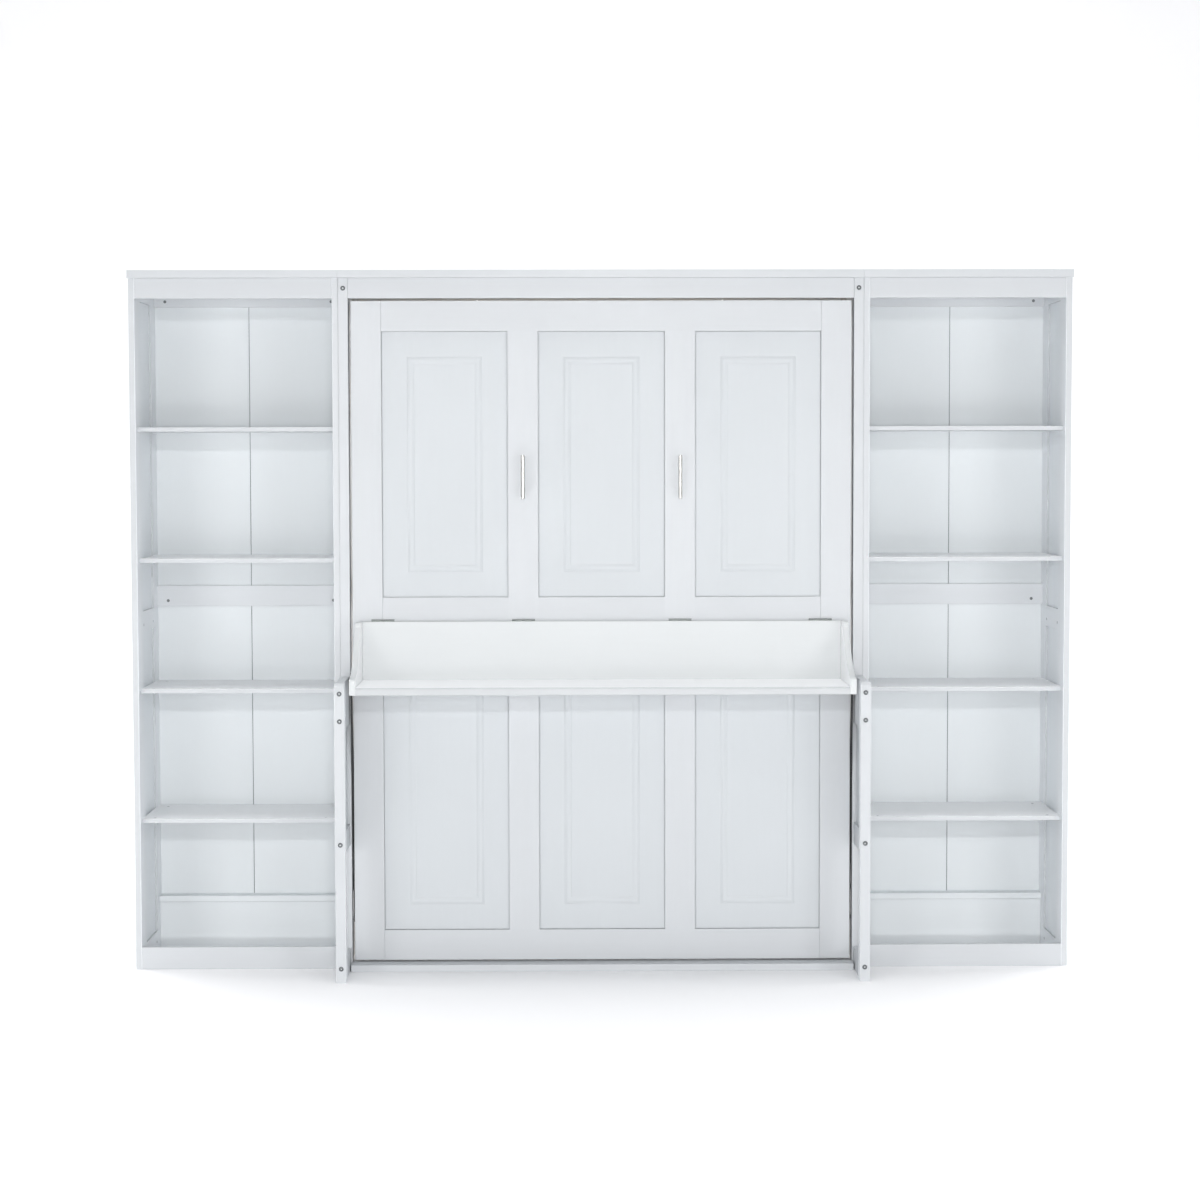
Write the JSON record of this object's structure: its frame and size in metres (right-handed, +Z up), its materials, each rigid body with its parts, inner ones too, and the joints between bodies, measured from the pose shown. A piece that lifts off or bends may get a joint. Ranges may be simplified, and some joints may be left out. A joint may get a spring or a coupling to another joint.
{
  "type": "wall bed with fold-down desk",
  "caption": "Wall bed that folds down from an upright cabinet, with a desk on its front that stays level as it lowers and an open bookcase on either side.",
  "frame": {"origin": "on the floor, in the middle of the footprint in X and Y", "axes": "+X across the front to the viewer's right, -Y towards the person at the desk, +Z up; the bed is drawn shut"},
  "size_m": [2.99, 0.7, 2.225],
  "materials": {
    "white_paint": "white painted pine, satin",
    "white_sheet": "thin white faced sheet, satin",
    "white_desk": "white painted board, slightly brighter satin",
    "bare_pine": "planed, unpainted",
    "satin_nickel": "satin nickel plate",
    "zinc": "bright zinc plate",
    "white_steel": "white powder coat",
    "black_steel": "black powder coat",
    "rod_steel": "polished rod",
    "bush_plastic": "black nylon"
  },
  "bodies": {
    "case": {"case_post_left": "white_paint", "case_post_right": "white_paint", "case_rear_posts": "white_paint", "case_side_left": "white_paint", "case_side_right": "white_paint", "case_top": "white_paint", "case_fascia": "white_paint", "case_base_board": "white_paint", "wall_rails": "white_paint", "leg_left": "white_paint", "leg_right": "white_paint", "leg_arms": "white_paint", "leg_rails": "white_paint", "leg_infills": "white_sheet", "frame_bolts": "zinc", "left_bookcase_stiles": "white_paint", "right_bookcase_stiles": "white_paint", "bookcase_side_rails": "white_paint", "bookcase_side_panels": "white_sheet", "bookcase_backs": "white_sheet", "bookcase_tops": "white_paint", "bookcase_fascias": "white_paint", "left_bookcase_shelves": "white_paint", "right_bookcase_shelves": "white_paint", "bookcase_plinths": "white_paint", "bookcase_back_rails": "white_paint", "bookcase_back_ledges": "white_paint", "bookcase_bolts": "zinc", "barrel_nuts": "zinc", "pivot_bushes": "bush_plastic", "case_studs": "zinc"},
    "bed": {"bed_stile_left": "white_paint", "bed_stile_right": "white_paint", "bed_mid_stiles": "white_paint", "bed_cross_rails": "white_paint", "bed_panels": "white_sheet", "bed_side_rails": "white_paint", "bed_end_rails": "white_paint", "bed_slats": "bare_pine", "slat_supports": "bare_pine", "handle_bars": "satin_nickel", "handle_posts": "satin_nickel", "pivot_plates": "zinc", "foot_studs": "zinc", "hinge_bed_leaves": "zinc", "hinge_pins": "zinc"},
    "desk": {"desk_top": "white_desk", "desk_back": "white_desk", "desk_cheek_left": "white_desk", "desk_cheek_right": "white_desk", "hinge_desk_leaves": "zinc", "cheek_studs": "zinc"},
    "left_link": {"link_left": "white_steel"},
    "right_link": {"link_right": "white_steel"},
    "left_cylinder": {"gas_cylinder_left": "black_steel"},
    "right_cylinder": {"gas_cylinder_right": "black_steel"},
    "left_rod": {"gas_rod_left": "rod_steel"},
    "right_rod": {"gas_rod_right": "rod_steel"},
    "left_foot_leg": {"foot_leg_left": "black_steel"},
    "right_foot_leg": {"foot_leg_right": "black_steel"}
  },
  "joints": [
    {"name": "bed_fold", "type": "hinge", "parent": "case", "child": "bed", "pos_m": [0, 0.03, 0.33], "axis": [1, 0, 0], "range_deg": [0, 90]},
    {"name": "desk_hinge", "type": "hinge", "parent": "bed", "child": "desk", "pos_m": [0, -0.0532, 1.118], "axis": [1, 0, 0], "range_deg": [-90, 0]},
    {"name": "left_link_turn", "type": "hinge", "parent": "case", "child": "left_link", "pos_m": [-0.796, 0.0112, 0.152], "axis": [1, 0, 0], "range_deg": [0, 90]},
    {"name": "left_cylinder_turn", "type": "hinge", "parent": "case", "child": "left_cylinder", "pos_m": [-0.802, 0.1, 0.6], "axis": [1, 0, 0], "range_deg": [0, 11.49]},
    {"name": "left_rod_slide", "type": "slide", "parent": "left_cylinder", "child": "left_rod", "axis": [0, 0.1305, 0.9914], "range_m": [0, 0.1128]},
    {"name": "left_foot_leg_turn", "type": "hinge", "parent": "bed", "child": "left_foot_leg", "pos_m": [-0.796, 0.05, 2.04], "axis": [1, 0, 0], "range_deg": [-90, 0]},
    {"name": "right_link_turn", "type": "hinge", "parent": "case", "child": "right_link", "pos_m": [0.796, 0.0112, 0.152], "axis": [1, 0, 0], "range_deg": [0, 90]},
    {"name": "right_cylinder_turn", "type": "hinge", "parent": "case", "child": "right_cylinder", "pos_m": [0.802, 0.1, 0.6], "axis": [1, 0, 0], "range_deg": [0, 11.49]},
    {"name": "right_rod_slide", "type": "slide", "parent": "right_cylinder", "child": "right_rod", "axis": [0, 0.1305, 0.9914], "range_m": [0, 0.1128]},
    {"name": "right_foot_leg_turn", "type": "hinge", "parent": "bed", "child": "right_foot_leg", "pos_m": [0.796, 0.05, 2.04], "axis": [1, 0, 0], "range_deg": [-90, 0]}
  ],
  "couplings": [
    {"joint": "desk_hinge", "follows": "bed_fold", "ratio": -1},
    {"joint": "left_link_turn", "follows": "bed_fold", "ratio": 1},
    {"joint": "left_cylinder_turn", "follows": "bed_fold", "ratio": 0.12708},
    {"joint": "left_rod_slide", "follows": "bed_fold", "m_per_rad": 0.071617},
    {"joint": "left_foot_leg_turn", "follows": "bed_fold", "ratio": -1},
    {"joint": "right_link_turn", "follows": "bed_fold", "ratio": 1},
    {"joint": "right_cylinder_turn", "follows": "bed_fold", "ratio": 0.12708},
    {"joint": "right_rod_slide", "follows": "bed_fold", "m_per_rad": 0.071617},
    {"joint": "right_foot_leg_turn", "follows": "bed_fold", "ratio": -1}
  ]
}
